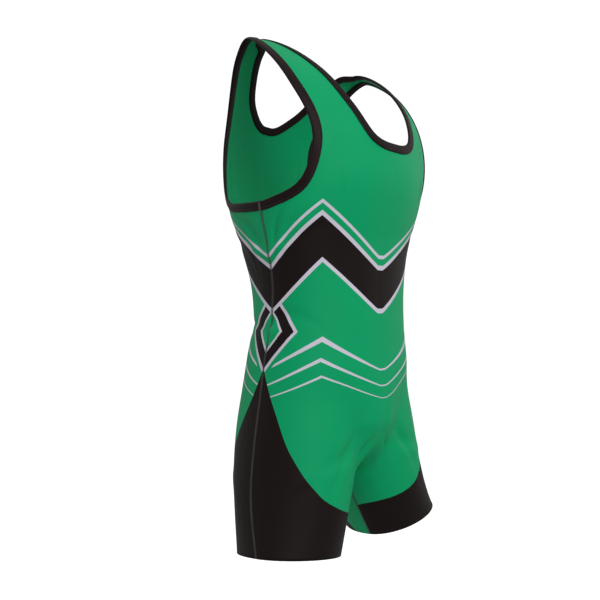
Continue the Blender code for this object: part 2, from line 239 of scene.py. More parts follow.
def lower_skin(share, level, side):
    """Leg and body sections mixed by height, rounder towards the fork between the legs."""
    body_x, body_y = body_section(share, level, side)
    leg_x, leg_y = leg_section(share, level, side)
    rise = np.clip((level - CROTCH_Z) / MERGE_HEIGHT, 0.0, 1.0)
    fork_weight = np.sqrt(1 - (1 - rise) ** 2)
    thigh_weight = ease(level, CROTCH_Z, CROTCH_Z + THIGH_MERGE_HEIGHT)
    weight = thigh_weight + (fork_weight - thigh_weight) * ease(share, THIGH_SHARE, 1.0)
    beyond = leg_x + (body_x - leg_x) * weight - MIDDLE
    rounding = FORK_ROUNDING * (1 - thigh_weight)
    x = MIDDLE + (beyond + np.hypot(beyond, rounding)) / 2
    y = leg_y + (body_y - leg_y) * weight
    drop = ((CROTCH_Z - np.minimum(level, CROTCH_Z)) / (CROTCH_Z - HEM_Z)) ** 2
    hem_middle_x = (BODY["half_width"][0] + LEG["inner_x"][0]) / 2
    hem_middle_y = (BODY["seam_y"][0] + LEG["inseam_y"][0]) / 2
    tilt = HEM_RISE_OUTWARDS * (x - hem_middle_x) + HEM_RISE_BACKWARDS * (y - hem_middle_y)
    return np.stack([x, y, level + tilt * drop], axis=-1)


def upper_skin(share, level, side):
    """Ribs: cubic Bezier curves that leave the body's slope and cross the ridge level."""
    foot_x, foot_y = body_section(share, BASE_Z, side)
    below_x, below_y = body_section(share, BASE_Z - FINE_STEP, side)
    foot = np.stack([foot_x, foot_y, np.full_like(foot_x, BASE_Z)], axis=-1)
    below = np.stack([below_x, below_y, np.full_like(foot_x, BASE_Z - FINE_STEP)], axis=-1)
    ridge_x = MIDDLE + (RIDGE_REACH - MIDDLE) * np.cos(share * math.pi / 2)
    ridge_z = RIDGE_CROWN - RIDGE_FALL * (ridge_x / RIDGE_REACH) ** 2
    ridge = np.stack([ridge_x, np.zeros_like(ridge_x), ridge_z], axis=-1)
    handle = RIBS[side]["lower"] * (ridge_z - BASE_Z) / FINE_STEP
    low_handle = foot + (foot - below) * handle[..., None]
    top_handle = ridge + np.stack([0 * foot_y, RIBS[side]["upper"] * foot_y, 0 * foot_y], axis=-1)
    t = np.clip(1 - level / BASE_Z, 0.0, 1.0)[..., None]
    return ((1 - t) ** 3 * foot + 3 * (1 - t) ** 2 * t * low_handle
            + 3 * (1 - t) * t**2 * top_handle + t**3 * ridge)


def skin(places, side):
    """Points of the cloth's outer face at places given as (share, level) pairs."""
    share, level = np.broadcast_arrays(places[..., 0], places[..., 1])
    lower = lower_skin(share, np.minimum(level, BASE_Z), side)
    upper = upper_skin(share, level, side)
    return np.where(level[..., None] <= BASE_Z, lower, upper)


def slopes(places, side):
    """Change of the cloth's points with share and with level, by small differences."""
    ahead = np.clip(places[..., 0] + FINE_STEP, 0, 1)
    behind = np.clip(places[..., 0] - FINE_STEP, 0, 1)
    above = np.minimum(places[..., 1] + FINE_STEP, 0)
    under = np.maximum(places[..., 1] - FINE_STEP, HEM_Z)
    by_share = (skin(np.stack([ahead, places[..., 1]], -1), side)
                - skin(np.stack([behind, places[..., 1]], -1), side)) / (ahead - behind)[..., None]
    by_level = (skin(np.stack([places[..., 0], above], -1), side)
                - skin(np.stack([places[..., 0], under], -1), side)) / (above - under)[..., None]
    return by_share, by_level


def unit(vectors):
    return vectors / np.linalg.norm(vectors, axis=-1, keepdims=True)


def normals(places, side):
    """Outward directions of the cloth on the left half: level slope x share slope."""
    by_share, by_level = slopes(places, side)
    return unit(np.cross(by_level, by_share)) * side


def creases(places, side, depth):
    """Sum of stretched bells: height exp(-(across/a)^2 - (along/b)^2), turned in the cloth."""
    table = {name: np.array(column, float) for name, column in CREASES[side].items()}
    share, level = places[..., 0, None], places[..., 1, None]
    sideways = (share - table["share"]) * BLOCK_SCALE
    upwards = level - table["level"]
    turn = np.radians(table["turn"])
    along = sideways * np.cos(turn) + upwards * np.sin(turn)
    bend = CREASE_BEND * along**2
    across = upwards * np.cos(turn) - sideways * np.sin(turn) + bend
    bells = np.exp(-(across / table["across"]) ** 2 - (along / table["along"]) ** 2)
    return (bells * table["height"]).sum(-1) * depth


def cloth_points(places, side, depth):
    """The outer face with its creases, standing the seam shift off its seams' line."""
    lift = creases(places, side, depth)[..., None] * normals(places, side)
    return skin(places, side) + lift - np.array((0, side * SEAM_SHIFT, 0))


# ---------------------------------------------------------------- grids of places

def edge_curve(rows, start_mirror):
    """Closely spaced places on a smooth curve through a table's rows, squared at both ends."""
    share, level = np.array(rows["share"]), np.array(rows["level"])
    share = np.concatenate([[2 * start_mirror - share[1]], share, [share[-2]]])
    level = np.concatenate([[level[1]], level, [-level[-2]]])
    steps = np.hypot(np.diff(share) * RIDGE_REACH, np.diff(level))
    along = np.concatenate([[0], np.cumsum(steps)])
    dense = np.linspace(along[1], along[-2], DENSE)
    curve = {"z": along, "share": share, "level": level}
    return np.stack([smooth(curve, "share", dense), smooth(curve, "level", dense)], axis=-1)


def spaced(places, side, count):
    """Pick count + 1 places at equal distances along the cloth."""
    points = skin(places, side)
    lengths = np.concatenate([[0], np.cumsum(np.linalg.norm(np.diff(points, axis=0), axis=1))])
    wanted = np.linspace(0, lengths[-1], count + 1)
    return np.stack([np.interp(wanted, lengths, places[:, k]) for k in (0, 1)], axis=-1)


def reach_rows(curve, side, inward, parts):
    """Places at the given parts of a binding's width in from an edge, walked square to it.

    Each short step solves slopes x step = direction for the change of place.
    """
    by_share, by_level = slopes(curve, side)
    normal = unit(np.cross(by_level, by_share)) * side
    along = unit(np.gradient(skin(curve, side), axis=0))
    stride = BINDING_WIDTH / WALK_STEPS
    across = np.cross(normal, along) * side * inward * stride
    walked = [curve]
    for _ in range(round(WALK_STEPS * 1.2)):
        by_share, by_level = slopes(walked[-1], side)
        solve = np.linalg.pinv(np.stack([by_share, by_level], axis=-1))
        step = np.einsum("nij,nj->ni", solve, across)
        step[0] = (0, -stride / np.linalg.norm(by_level[0]))
        step[-1] = (inward * stride / np.linalg.norm(by_share[-1]), 0)
        walked.append(walked[-1] + step)
    walked = np.stack(walked, axis=1)
    at = np.asarray(parts) * WALK_STEPS
    low = np.minimum(at.astype(int), walked.shape[1] - 2)
    return walked[:, low] + (walked[:, low + 1] - walked[:, low]) * (at - low)[:, None]


def strap_line(side):
    levels = np.linspace(FAN_Z, 0, DENSE)
    return np.stack([smooth(STRAP_LINE[side], "share", levels), levels], axis=-1)


EDGES = {
    "armhole": {"table": ARMHOLE, "start": 0.0, "inward": 1, "shares": COLUMNS[:SIDE_COLUMNS + 1]},
    "neck": {"table": NECK, "start": 1.0, "inward": -1, "shares": COLUMNS[SIDE_COLUMNS:][::-1]},
}


def edge_rows(kind, side, parts):
    """Places along a bound edge, and in from it, at stations evenly spaced along it."""
    edge = EDGES[kind]
    count = len(edge["shares"]) - 1 + STRAP_ROWS
    curve = spaced(edge_curve(edge["table"][side], edge["start"]), side, count)
    return reach_rows(curve, side, edge["inward"], parts)


def edge_grid(kind, side):
    """Grid of places from a bound edge out to the level row and the strap line."""
    shares = EDGES[kind]["shares"]
    bound = edge_rows(kind, side, (0, 0.25, 0.5, 0.75, 1.0))
    base = np.stack([shares, np.full(len(shares), FAN_Z)], axis=-1)
    outer = np.concatenate([base, spaced(strap_line(side), side, STRAP_ROWS)[1:]])
    mix = np.linspace(0, 1, FILL_ROWS + 1)[1:]
    fill = bound[:, -1:] + (outer[:, None] - bound[:, -1:]) * mix[:, None]
    return np.concatenate([bound, fill], axis=1)


def level_grid(low, high, rows, power=1):
    levels = low + (high - low) * np.linspace(0, 1, rows + 1) ** power
    return np.stack(np.meshgrid(COLUMNS, levels, indexing="ij"), axis=-1)


# ---------------------------------------------------------------- the print, as fields

def arc_table():
    """Distance round the cloth from the side seam, on a table of levels and shares."""
    levels = np.linspace(HEM_Z, 0, 160)
    shares = np.linspace(0, 1, 97)
    found = {}
    for side in (FRONT, BACK):
        points = skin(np.stack(np.meshgrid(levels, shares, indexing="ij")[::-1], -1), side)
        steps = np.linalg.norm(np.diff(points, axis=1), axis=-1)
        found[side] = np.concatenate([np.zeros((len(levels), 1)), np.cumsum(steps, axis=1)], 1)
    return levels, shares, found


ARC_LEVELS, ARC_SHARES, ARCS = arc_table()


def arc(places, side):
    """Distance from the side seam, read from the table by straight mixing."""
    row = np.clip((places[..., 1] - HEM_Z) / -HEM_Z, 0, 1) * (len(ARC_LEVELS) - 1)
    column = np.clip(places[..., 0], 0, 1) * (len(ARC_SHARES) - 1)
    i = np.minimum(row.astype(int), len(ARC_LEVELS) - 2)
    j = np.minimum(column.astype(int), len(ARC_SHARES) - 2)
    u, v = row - i, column - j
    table = ARCS[side]
    return ((1 - u) * ((1 - v) * table[i, j] + v * table[i, j + 1])
            + u * ((1 - v) * table[i + 1, j] + v * table[i + 1, j + 1]))


def print_fields(places, side):
    """Reach into the leg block in metres, and the cloth's own coordinates: round, up, share."""
    share, level = places[..., 0], places[..., 1]
    block = (smooth(LEG_BLOCK[side], "share", level) - share) * BLOCK_SCALE
    block = np.where(level > max(LEG_BLOCK[side]["z"]), OFF_BLOCK, block)
    return {"block": block, "cloth": np.stack([arc(places, side), level, share], -1)}


# ---------------------------------------------------------------- meshes

def quads(rows, columns, flip, closed=(False, False)):
    """Four corners of each cell of a grid, whose ends may join up."""
    index = np.arange(rows * columns).reshape(rows, columns)
    if closed[0]:
        index = np.concatenate([index, index[:1]])
    if closed[1]:
        index = np.concatenate([index, index[:, :1]], axis=1)
    cells = np.stack([index[:-1, :-1], index[1:, :-1], index[1:, 1:], index[:-1, 1:]], -1)
    cells = cells.reshape(-1, 4)
    return cells[:, ::-1] if flip else cells


def new_object(name, points, cells, finish, fields=None, weld=None):
    """A smooth mesh object at the origin, with values at its points; near points may weld."""
    mesh = bpy.data.meshes.new(name)
    cells = cells.tolist() if isinstance(cells, np.ndarray) else cells
    mesh.from_pydata(points.tolist(), [], cells)
    for field, values in (fields or {}).items():
        kind = "FLOAT_VECTOR" if values.ndim == 2 else "FLOAT"
        layer = mesh.attributes.new(field, kind, "POINT")
        layer.data.foreach_set("vector" if values.ndim == 2 else "value", values.ravel())
    if weld:
        work = bmesh.new()
        work.from_mesh(mesh)
        bmesh.ops.remove_doubles(work, verts=work.verts, dist=weld)
        work.to_mesh(mesh)
        work.free()
    mesh.shade_smooth()
    mesh.materials.append(finish)
    made = bpy.data.objects.new(name, mesh)
    bpy.context.scene.collection.objects.link(made)
    return made


def stitches(centres, along, out, length, radius, bow=1.0, sides=6, rings=5):
    """Short bowed threads: each a tube whose radius and lift follow half a sine along it."""
    t = np.linspace(0, 1, rings)
    angle = np.linspace(0, 2 * math.pi, sides, endpoint=False)
    across = np.cross(along, out)
    lift = np.sin(t * math.pi)
    thick = radius * (0.35 + 0.65 * np.sqrt(lift))
    middle = (centres[:, None] + along[:, None] * ((t - 0.5) * length)[:, None]
              + out[:, None] * (lift * radius * bow)[:, None])
    ring = (across[:, None] * np.cos(angle)[:, None] + out[:, None] * np.sin(angle)[:, None])
    points = middle[:, :, None] + ring[:, None] * thick[:, None, None]
    one = quads(rings, sides, True, closed=(False, True))
    ends = np.array([list(range(sides)), list(range((rings - 1) * sides, rings * sides))[::-1]])
    count = len(centres)
    starts = np.arange(count)[:, None, None] * rings * sides
    faces = [tuple(face) for face in (starts + one).reshape(-1, 4).tolist()]
    faces += [tuple(face) for face in (starts + ends).reshape(-1, sides).tolist()]
    return points.reshape(-1, 3), faces


def along_line(points, values, pitch):
    """Resample a line, and vectors on it, at even distances about a pitch apart."""
    lengths = np.concatenate([[0], np.cumsum(np.linalg.norm(np.diff(points, axis=0), axis=1))])
    count = max(int(lengths[-1] / pitch), 2)
    at = (np.arange(count) + 0.5) * lengths[-1] / count

    def read(rows, where):
        return np.stack([np.interp(where, lengths, row) for row in rows.T], -1)

    along = unit(read(points, at + pitch / 2) - read(points, at - pitch / 2))
    return read(points, at), along, unit(read(values, at))


# ---------------------------------------------------------------- materials

class Nodes:
    """Short calls for building a material's node tree."""

    def __init__(self, name):
        self.material = bpy.data.materials.new(name)
        self.material.use_nodes = True
        self.tree = self.material.node_tree
        self.surface = self.tree.nodes["Principled BSDF"]

    def add(self, kind, **settings):
        node = self.tree.nodes.new(kind)
        for key, value in settings.items():
            setattr(node, key, value)
        return node

    def link(self, source, target):
        self.tree.links.new(source, target)

    def math(self, operation, first, second=None):
        node = self.add("ShaderNodeMath", operation=operation)
        for slot, value in zip(node.inputs, (first, second)):
            if value is None:
                continue
            if isinstance(value, (int, float)):
                slot.default_value = value
            else:
                self.link(value, slot)
        return node.outputs[0]

    def field(self, name):
        return self.add("ShaderNodeAttribute", attribute_name=name).outputs["Fac"]

    def cloth_axes(self):
        """The cloth's own coordinates: distance round from the side seam, level and share."""
        split = self.add("ShaderNodeSeparateXYZ")
        cloth = self.add("ShaderNodeAttribute", attribute_name="cloth")
        self.link(cloth.outputs["Vector"], split.inputs[0])
        return split.outputs

    def mix(self, factor, first, second):
        node = self.add("ShaderNodeMix", data_type="RGBA")
        for slot, value in ((node.inputs["Factor"], factor), (node.inputs[6], first),
                            (node.inputs[7], second)):
            if isinstance(value, bpy.types.NodeSocket):
                self.link(value, slot)
            elif isinstance(value, float):
                slot.default_value = value
            else:
                slot.default_value = (*value, 1.0)
        return node.outputs[2]

    def place(self):
        """Object coordinates, in metres."""
        return self.add("ShaderNodeTexCoord").outputs["Object"]

    def noise(self, scale, detail=3.0):
        node = self.add("ShaderNodeTexNoise")
        node.inputs["Scale"].default_value = scale
        node.inputs["Detail"].default_value = detail
        self.link(self.place(), node.inputs["Vector"])
        return node.outputs["Fac"]

    def bump(self, height, distance, strength):
        node = self.add("ShaderNodeBump")
        node.inputs["Distance"].default_value = distance
        node.inputs["Strength"].default_value = strength
        self.link(height, node.inputs["Height"])
        self.link(node.outputs["Normal"], self.surface.inputs["Normal"])


def knit_height(nodes, pitch):
    """Fine knit: rows of loops from two crossed waves on the cloth's own coordinates."""
    around, level, _ = nodes.cloth_axes()
    turn = 2 * math.pi / pitch
    wales = nodes.math("SINE", nodes.math("MULTIPLY", around, turn))
    courses = nodes.math("SINE", nodes.math("MULTIPLY", level, turn * 1.35))
    return nodes.math("ADD", wales, nodes.math("MULTIPLY", courses, 0.6))


def set_cloth_gloss(surface, roughness, sheen):
    surface.inputs["Roughness"].default_value = roughness
    surface.inputs["Specular IOR Level"].default_value = 0.12
    surface.inputs["Sheen Weight"].default_value = sheen
    surface.inputs["Sheen Roughness"].default_value = 0.45
    surface.inputs["Sheen Tint"].default_value = (0.6, 1.0, 0.8, 1.0)


def printed_figures(nodes, colour, green, black, pale):
    """Zigzag band, side lozenges and thinning lines over a base colour.

    The wave runs from 0 at a panel's two sides to 1 half way between them; a figure's reach
    is positive inside it, in metres.
    """
    def call(operation, first, second=None):
        return nodes.math(operation, first, second)

    around, level, share = nodes.cloth_axes()
    wave = call("SUBTRACT", 1.0, call("MULTIPLY", call("ABSOLUTE", call("SUBTRACT", share, 0.5)),
                                      2.0))
    wide = call("MULTIPLY", call("ABSOLUTE", around), 1 / LOZENGE["half_width"])
    tall = call("MULTIPLY", call("ABSOLUTE", call("SUBTRACT", level, LOZENGE["z"])),
                1 / LOZENGE["half_height"])
    lozenge = call("MULTIPLY", call("SUBTRACT", 1.0, call("ADD", wide, tall)),
                   LOZENGE["half_width"])
    outside = call("LESS_THAN", lozenge, -2.2 * LOZENGE["edge"])
    for z, rise, half in zip(*(LOW_LINES[key] for key in ("z", "swing", "half"))):
        off = call("SUBTRACT", level, call("ADD", call("MULTIPLY", wave, rise), z - 0.75 * rise))
        near = call("LESS_THAN", call("ABSOLUTE", off),
                    call("MULTIPLY", call("ADD", wave, 0.5), half / 1.5))
        colour = nodes.mix(call("MULTIPLY", near, outside), colour, pale)
    band = call("SUBTRACT", level, call("ADD", call("MULTIPLY", wave, 2 * BAND["swing"]),
                                        BAND["z"] - BAND["swing"]))
    high = call("ABSOLUTE", call("SUBTRACT", band, HIGH_LINE["rise"]))
    colour = nodes.mix(call("LESS_THAN", high, HIGH_LINE["half"]), colour, pale)
    ring = LOZENGE["half_width"] * LOZENGE["core"]
    for limit, fill in ((-LOZENGE["edge"], pale), (0.0, black), (ring, pale),
                        (ring + 0.7 * LOZENGE["edge"], green)):
        colour = nodes.mix(call("GREATER_THAN", lozenge, limit), colour, fill)
    off = call("ABSOLUTE", band)
    for limit, fill in ((BAND["half"] + BAND["edge"], pale), (BAND["half"], black)):
        colour = nodes.mix(call("LESS_THAN", off, limit), colour, fill)
    return colour


def cloth_material(name, settings, printed=True):
    """Stretch knit with its printed colours, chosen by the fields stored at the points."""
    nodes = Nodes(name)
    green, black, pale = (tuple(getattr(settings, k)) for k in ("green", "black", "pale"))
    colour = nodes.mix(nodes.math("MULTIPLY", nodes.noise(14.0), 0.35), green,
                       tuple(c * 0.80 for c in green))
    if printed:
        colour = printed_figures(nodes, colour, green, black, pale)
    in_block = nodes.math("GREATER_THAN", nodes.field("block"), 0.0)
    colour = nodes.mix(in_block, colour, black)
    nodes.link(colour, nodes.surface.inputs["Base Color"])
    set_cloth_gloss(nodes.surface, settings.roughness, settings.sheen)
    nodes.bump(knit_height(nodes, settings.knit_pitch), 0.00006, 0.6)
    return nodes.material


def plain_cloth_material(name, colour, settings):
    """Cloth of one colour with a soft mottle and a fine woven grain."""
    nodes = Nodes(name)
    shade = nodes.mix(nodes.noise(60.0), colour, tuple(c * 0.7 for c in colour))
    nodes.link(shade, nodes.surface.inputs["Base Color"])
    set_cloth_gloss(nodes.surface, settings.roughness, settings.sheen)
    grain = nodes.add("ShaderNodeTexVoronoi")
    grain.inputs["Scale"].default_value = 1400.0
    nodes.link(nodes.place(), grain.inputs["Vector"])
    nodes.bump(grain.outputs["Distance"], 0.00008, 0.5)
    return nodes.material


def thread_material(name, colour):
    """Spun thread: fine slanting plies and slightly uneven dye."""
    nodes = Nodes(name)
    shade = nodes.mix(nodes.noise(900.0), colour, tuple(c * 0.6 for c in colour))
    nodes.link(shade, nodes.surface.inputs["Base Color"])
    nodes.surface.inputs["Roughness"].default_value = 0.75
    nodes.surface.inputs["Sheen Weight"].default_value = 0.25
    plies = nodes.add("ShaderNodeTexWave")
    plies.inputs["Scale"].default_value = 900.0
    nodes.link(nodes.place(), plies.inputs["Vector"])
    nodes.bump(plies.outputs["Fac"], 0.00005, 0.5)
    return nodes.material


def stage_material(name, colour, glow):
    nodes = Nodes(name)
    nodes.surface.inputs["Emission Color"].default_value = (1, 1, 1, 1)
    nodes.surface.inputs["Emission Strength"].default_value = glow
    shade = nodes.mix(nodes.noise(1.5), colour, tuple(c * 0.985 for c in colour))
    nodes.link(shade, nodes.surface.inputs["Base Color"])
    nodes.surface.inputs["Roughness"].default_value = 0.95
    nodes.surface.inputs["Specular IOR Level"].default_value = 0.1
    return nodes.material


# ---------------------------------------------------------------- settings

class SingletCloth(bpy.types.PropertyGroup):
    green: bpy.props.FloatVectorProperty(
        name="Green", description="Main colour of the printed knit", subtype="COLOR",
        default=(0.001, 0.395, 0.148), min=0, max=1)
    black: bpy.props.FloatVectorProperty(
        name="Black", description="Warm black of the leg blocks and the band", subtype="COLOR",
        default=(0.0105, 0.0055, 0.0055), min=0, max=1)
    pale: bpy.props.FloatVectorProperty(
        name="Pale lavender", description="Colour of the printed edging", subtype="COLOR",
        default=(0.680, 0.645, 0.753), min=0, max=1)
    roughness: bpy.props.FloatProperty(
        name="Roughness", description="Roughness of the satin knit", default=0.52, min=0, max=1)
    sheen: bpy.props.FloatProperty(
        name="Sheen", description="Weight of the nap's sheen", default=0.02, min=0, max=1)
    knit_pitch: bpy.props.FloatProperty(
        name="Knit pitch", description="Distance between wales", default=0.0011,
        unit="LENGTH", precision=5)
    crease_depth: bpy.props.FloatProperty(
        name="Crease depth", description="Scale of all the creases", default=2.3, min=0, max=3)


class SingletBinding(bpy.types.PropertyGroup):
    colour: bpy.props.FloatVectorProperty(
        name="Colour", description="Colour of the folded bindings", subtype="COLOR",
        default=(0.0150, 0.0055, 0.0065), min=0, max=1)
    swell: bpy.props.FloatProperty(
        name="Swell", description="How far the binding stands up between its edges",
        default=0.0005, unit="LENGTH", precision=5)
    stitch_pitch: bpy.props.FloatProperty(
        name="Stitch pitch", description="Distance between cover stitches", default=0.0030,
        unit="LENGTH", precision=4)


class SingletThread(bpy.types.PropertyGroup):
    colour: bpy.props.FloatVectorProperty(
        name="Colour", description="Colour of the flat seams' thread", subtype="COLOR",
        default=(0.105, 0.088, 0.088), min=0, max=1)
    tack_colour: bpy.props.FloatVectorProperty(
        name="Tack colour", description="Colour of the tacks over the bindings",
        subtype="COLOR", default=(0.17, 0.15, 0.15), min=0, max=1)
    width: bpy.props.FloatProperty(
        name="Width", description="Width of a flat seam", default=0.0056, unit="LENGTH",
        precision=4)
    pitch: bpy.props.FloatProperty(
        name="Pitch", description="Distance between a flat seam's stitches", default=0.0013,
        unit="LENGTH", precision=4)


class SingletStage(bpy.types.PropertyGroup):
    floor_drop: bpy.props.FloatProperty(
        name="Floor drop", description="How far the floor lies under the shoulders",
        default=1.45, unit="LENGTH")
    sky: bpy.props.FloatProperty(
        name="Sky light", description="Strength of the soft light from all round",
        default=0.38, min=0)
    glow: bpy.props.FloatProperty(
        name="Backdrop glow", description="Light given off by the pale backdrop itself",
        default=0.7, min=0)
    key_power: bpy.props.FloatProperty(
        name="Key light", description="Power of the key light", default=31.0, unit="POWER")
    fill_power: bpy.props.FloatProperty(
        name="Fill light", description="Power of each fill light", default=6.5, unit="POWER")


# ---------------------------------------------------------------- pieces


def panel_parts(side, depth):
    """All of a panel's grids and their mirror images, with the strip between the legs."""
    flip = side == BACK
    legs = level_grid(HEM_Z, CROTCH_Z, LEG_ROWS)
    merge = level_grid(CROTCH_Z, CROTCH_Z + MERGE_HEIGHT, MERGE_ROWS, power=1.6)
    body = level_grid(CROTCH_Z + MERGE_HEIGHT, FAN_Z, BODY_ROWS)
    neck = edge_grid("neck", side)
    grids = [(grid, not flip) for grid in (legs, merge, body, neck)]
    grids.append((edge_grid("armhole", side), flip))
    points, cells, places = [], [], []
    start = 0

    def add(grid_points, grid_places, turned):
        nonlocal start
        rows, columns = grid_places.shape[:2]
        points.append(grid_points.reshape(-1, 3))
        places.append(grid_places.reshape(-1, 2))
        cells.append(quads(rows, columns, turned) + start)
        start += rows * columns

    for grid, turned in grids:
        outer = cloth_points(grid, side, depth)
        add(outer, grid, turned)
        add(outer * (-1, 1, 1), grid, not turned)
    line = np.concatenate([merge[-1], body[-1][1:], neck[0][::-1][1:]])
    outer = cloth_points(line, side, depth)
    across = np.array([-1, -0.5, 0, 0.5, 1])[:, None, None]
    strip = outer * np.concatenate([across, across * 0 + 1, across * 0 + 1], axis=2)
    add(strip, np.broadcast_to(line, (5, *line.shape)), flip)
    return np.concatenate(points), np.concatenate(cells), np.concatenate(places)


def build_panel(name, side, settings):
    points, cells, places = panel_parts(side, settings.crease_depth)
    fields = print_fields(places, side)
    cloth = cloth_material(name + "_cloth", settings)
    panel = new_object(name, points, cells, cloth, fields, weld=WELD)
    panel.data.materials.append(cloth_material(name + "_inside", settings, printed=False))
    wall = panel.modifiers.new("wall", "SOLIDIFY")
    wall.thickness = CLOTH
    wall.offset = -1
    wall.use_rim = True
    wall.material_offset = 1
    return panel


class SINGLET_OT_panels(bpy.types.Operator):
    """Front and back panels as thin walls with creases and their print"""
    bl_idname = "singlet.panels"
    bl_label = "Cloth panels"

    def execute(self, context):
        settings = context.scene.singlet_cloth
        for node, side in (("front_panel", FRONT), ("back_panel", BACK)):
            panel = build_panel(node.replace("_panel", "_cloth"), side, settings)
            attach(panel, "root")
            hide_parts(node)
        return {"FINISHED"}


PARTS = np.linspace(0, 1, 9)


def bound_rows(kind, side, parts):
    """Points of the cloth at parts of a binding's width, and their outward directions."""
    rows = edge_rows(kind, side, parts)
    shift = np.full((len(rows), 1, 1), -side * SEAM_SHIFT)
    shift[-1] = 0.0
    return skin(rows, side) + shift * (0, 1, 0), normals(rows, side)


def binding_ring(kind, side, settings):
    """Cross-sections of a folded binding, its swell half a sine wide, its nose an arc."""
    face, outward = bound_rows(kind, side, PARTS)
    beyond = unit(face[:, 0] - face[:, 1])
    near = BINDING_GAP
    swell = settings.swell * np.sin(PARTS * math.pi) ** 0.7
    far = near + BINDING_WALL * (0.55 + 0.45 * (1 - PARTS ** 8)) + swell
    middle = -CLOTH / 2

    def layer(heights, order):
        return [face[:, k] + outward[:, k] * heights[k] for k in order]

    def nose(radius, angles):
        return [face[:, 0] + outward[:, 0] * (middle + radius * math.cos(a))
                + beyond * radius * math.sin(a) for a in angles]

    inwards = range(len(PARTS))
    outwards = inwards[::-1]
    round_out = np.radians((30, 60, 90, 120, 150))
    ring = layer(far, outwards) + nose(CLOTH / 2 + near + BINDING_WALL, round_out)
    ring += layer(-CLOTH - far, inwards)
    ring += layer(np.full(len(PARTS), -CLOTH - near), outwards)
    ring += nose(CLOTH / 2 + near, round_out[::-1])
    ring += layer(np.full(len(PARTS), near), inwards)
    return np.stack(ring, axis=1)


def stitch_line(kind, side, part, settings):
    """Points on top of a binding at a part of its width, with their outward directions."""
    points, out = (rows[:, 0] for rows in bound_rows(kind, side, (part,)))
    height = BINDING_GAP + BINDING_WALL + settings.swell * math.sin(part * math.pi) ** 0.7
    return points + out * height, out


def loop(kind, make):
    """One armhole's or the neck's loop of rows, front and back, from rows made for a side."""
    front, back = make(FRONT), make(BACK)
    if kind == "armhole":
        bottom = (front[:1] + back[:1]) / 2
        return np.concatenate([bottom, front[1:], back[1:-1][::-1]])
    turned = np.array((-1, 1, 1))
    return np.concatenate([
        front[::-1] * turned, front[1:-1], back[::-1], back[1:-1] * turned])


def build_binding(name, kind, turned, settings, cloth, thread):
    """The folded binding, and two rows of cover stitches along it."""
    rings = loop(kind, lambda side: binding_ring(kind, side, settings)) * (turned, 1, 1)
    cells = quads(*rings.shape[:2], kind == "neck", closed=(True, True))
    corners = rings.reshape(-1, 3)
    volume = np.einsum("ij,ij->", corners[cells[:, 0]],
                       np.cross(corners[cells[:, 1]], corners[cells[:, 2]]))
    if volume < 0:
        cells = cells[:, ::-1]
    binding = new_object(name, corners, cells, cloth)
    rows = []
    for part in STITCH_ROWS:
        points = loop(kind, lambda side: stitch_line(kind, side, part, settings)[0])
        out = loop(kind, lambda side: stitch_line(kind, side, part, settings)[1])
        closed = [np.concatenate([line, line[:1]]) * (turned, 1, 1) for line in (points, out)]
        centres, along, up = along_line(*closed, settings.stitch_pitch)
        rows.append(stitches(centres, along, up, settings.stitch_pitch * 0.82,
                             BINDING_THREAD))
    points = np.concatenate([points for points, _ in rows])
    faces = list(rows[0][1])
    faces += [tuple(k + len(rows[0][0]) for k in face) for face in rows[1][1]]
    return binding, new_object(name + "_stitches", points, faces, thread)


class SINGLET_OT_bindings(bpy.types.Operator):
    """Folded bindings round the neck and both armholes, with their stitches"""
    bl_idname = "singlet.bindings"
    bl_label = "Bindings"

    def execute(self, context):
        settings = context.scene.singlet_binding
        cloth = plain_cloth_material("binding_cloth", tuple(settings.colour),
                                     context.scene.singlet_cloth)
        thread = thread_material("binding_thread", tuple(c * 1.8 for c in settings.colour))
        pieces = (("neck_binding", "neck", 1), ("armhole_binding_left", "armhole", 1),
                  ("armhole_binding_right", "armhole", -1))
        for node, kind, turned in pieces:
            name = node.replace("_binding", "_edge")
            binding, rows = build_binding(name, kind, turned, settings, cloth, thread)
            for piece in (binding, rows):
                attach(piece, "root")
            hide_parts(node)
        return {"FINISHED"}


def flat_seam(line, outward, width, pitch):
    """Cover stitch: threads that slant to and fro across a seam."""
    centres, along, up = along_line(line, outward, pitch)
    across = unit(np.cross(along, up))
    slant = np.where(np.arange(len(centres)) % 2, 1.0, -1.0)[:, None]
    direction = unit(across * width + along * slant * pitch * SEAM_SLANT)
    out = np.cross(direction, along)
    out = unit(out * np.sign(np.einsum("ij,ij->i", out, up))[:, None])
    return stitches(centres + up * SEAM_LIFT, direction, out, width, SEAM_THREAD, bow=0.8,
                    sides=5)


def side_seam_line(turned, depth):
    """The side seam from the hem to the armhole, with outward directions."""
    levels = np.linspace(HEM_Z, ARMHOLE[FRONT]["level"][0] - UNDER_BINDING, DENSE)
    places = np.stack([0 * levels, levels], -1)
    lines = [cloth_points(places, side, depth) for side in (FRONT, BACK)]
    out = normals(places, FRONT) + normals(places, BACK)
    return (lines[0] + lines[1]) / 2 * (turned, 1, 1), unit(out) * (turned, 1, 1)


def inseam_line(depth):
    """From one hem up the inside of the leg, across the fork and down the other leg."""
    levels = np.linspace(HEM_Z, CROTCH_Z, DENSE)
    places = np.stack([0 * levels + 1, levels], -1)
    lines = [cloth_points(places, side, depth) for side in (FRONT, BACK)]
    line = (lines[0] + lines[1]) / 2
    out = unit(normals(places, FRONT) + normals(places, BACK))
    turned = np.array((-1, 1, 1))
    points = np.concatenate([line * turned, line[::-1]])
    out = np.concatenate([out * turned, out[::-1]])
    fade = ease(points[:, 2], CROTCH_Z - FORK_TURN, CROTCH_Z)[:, None]
    return points, unit(out * (1 - fade) + np.array((0, 0, -1.0)) * fade)


